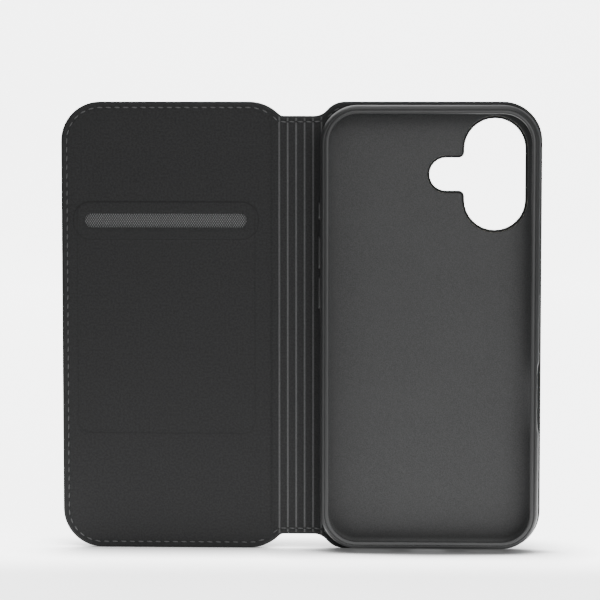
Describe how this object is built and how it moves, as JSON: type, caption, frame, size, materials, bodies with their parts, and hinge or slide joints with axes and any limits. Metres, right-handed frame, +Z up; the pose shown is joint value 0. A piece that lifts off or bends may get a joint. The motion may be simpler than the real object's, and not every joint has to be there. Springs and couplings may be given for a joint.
{
  "type": "phone wallet case",
  "caption": "Book-style wallet case: a front flap with a card slot, a ribbed folding spine and a back cover with a fitted phone tray, opened flat.",
  "frame": {"origin": "middle of the box's bottom face: the case stands on its bottom edge, opened flat", "axes": "+X from the front flap to the tray half, +Y out of the outer skin, so the tray opens towards -Y, +Z up"},
  "size_m": [0.1624, 0.0112, 0.152],
  "materials": {
    "outer_leather": "fine-grained black coated leather",
    "lining_cloth": "matte brushed microfibre",
    "pocket_mesh": "fine grey mesh",
    "board": "pressed board",
    "glue": "dried glue sheet",
    "thread": "twisted polyester thread",
    "tray_plastic": "satin black flexible plastic"
  },
  "bodies": {
    "tray_half": {"back_skin": "outer_leather", "back_board": "board", "back_lining": "lining_cloth", "back_stitches": "thread", "tray_glue_film": "glue", "tray_shell": "tray_plastic"},
    "spine_1": {"spine_skin_1": "outer_leather", "spine_lining_1": "lining_cloth", "spine_stitches_1": "thread"},
    "spine_2": {"spine_skin_2": "outer_leather", "spine_lining_2": "lining_cloth", "spine_stitches_2": "thread"},
    "spine_3": {"spine_skin_3": "outer_leather", "spine_lining_3": "lining_cloth", "spine_stitches_3": "thread"},
    "spine_4": {"spine_skin_4": "outer_leather", "spine_lining_4": "lining_cloth", "spine_stitches_4": "thread"},
    "spine_5": {"spine_skin_5": "outer_leather", "spine_lining_5": "lining_cloth", "spine_stitches_5": "thread"},
    "spine_6": {"spine_skin_6": "outer_leather", "spine_lining_6": "lining_cloth", "spine_stitches_6": "thread"},
    "flap": {"flap_skin": "outer_leather", "flap_board": "board", "flap_glue_sheet": "glue", "pocket_mesh": "pocket_mesh", "slot_reinforcement": "tray_plastic", "flap_lining": "lining_cloth", "flap_stitches": "thread"},
    "action_button": {"action_button_pad": "tray_plastic"},
    "volume_up_button": {"volume_up_pad": "tray_plastic"},
    "volume_down_button": {"volume_down_pad": "tray_plastic"},
    "side_button": {"side_button_pad": "tray_plastic"}
  },
  "joints": [
    {"name": "fold_1", "type": "hinge", "parent": "tray_half", "child": "spine_1", "pos_m": [0.00695, 0.0051, 0], "axis": [0, 0, 1], "range_deg": [-42, 42]},
    {"name": "fold_2", "type": "hinge", "parent": "spine_1", "child": "spine_2", "pos_m": [0.0041, 0.0051, 0], "axis": [0, 0, 1], "range_deg": [-38, 38]},
    {"name": "fold_3", "type": "hinge", "parent": "spine_2", "child": "spine_3", "pos_m": [0.00125, 0.0051, 0], "axis": [0, 0, 1], "range_deg": [-12, 12]},
    {"name": "fold_4", "type": "hinge", "parent": "spine_3", "child": "spine_4", "pos_m": [-0.0016, 0.0051, 0], "axis": [0, 0, 1], "range_deg": [-13, 13]},
    {"name": "fold_5", "type": "hinge", "parent": "spine_4", "child": "spine_5", "pos_m": [-0.00445, 0.0051, 0], "axis": [0, 0, 1], "range_deg": [-33, 33]},
    {"name": "fold_6", "type": "hinge", "parent": "spine_5", "child": "spine_6", "pos_m": [-0.0073, 0.0051, 0], "axis": [0, 0, 1], "range_deg": [-34, 34]},
    {"name": "fold_7", "type": "hinge", "parent": "spine_6", "child": "flap", "pos_m": [-0.01015, 0.0051, 0], "axis": [0, 0, 1], "range_deg": [-8, 8]},
    {"name": "action_press", "type": "slide", "parent": "tray_half", "child": "action_button", "axis": [1, 0, 0], "range_m": [0, 0.0004], "stiffness_N_per_m": 600},
    {"name": "volume_up_press", "type": "slide", "parent": "tray_half", "child": "volume_up_button", "axis": [1, 0, 0], "range_m": [0, 0.0004], "stiffness_N_per_m": 600},
    {"name": "volume_down_press", "type": "slide", "parent": "tray_half", "child": "volume_down_button", "axis": [1, 0, 0], "range_m": [0, 0.0004], "stiffness_N_per_m": 600},
    {"name": "side_press", "type": "slide", "parent": "tray_half", "child": "side_button", "axis": [-1, 0, 0], "range_m": [0, 0.0004], "stiffness_N_per_m": 600}
  ]
}
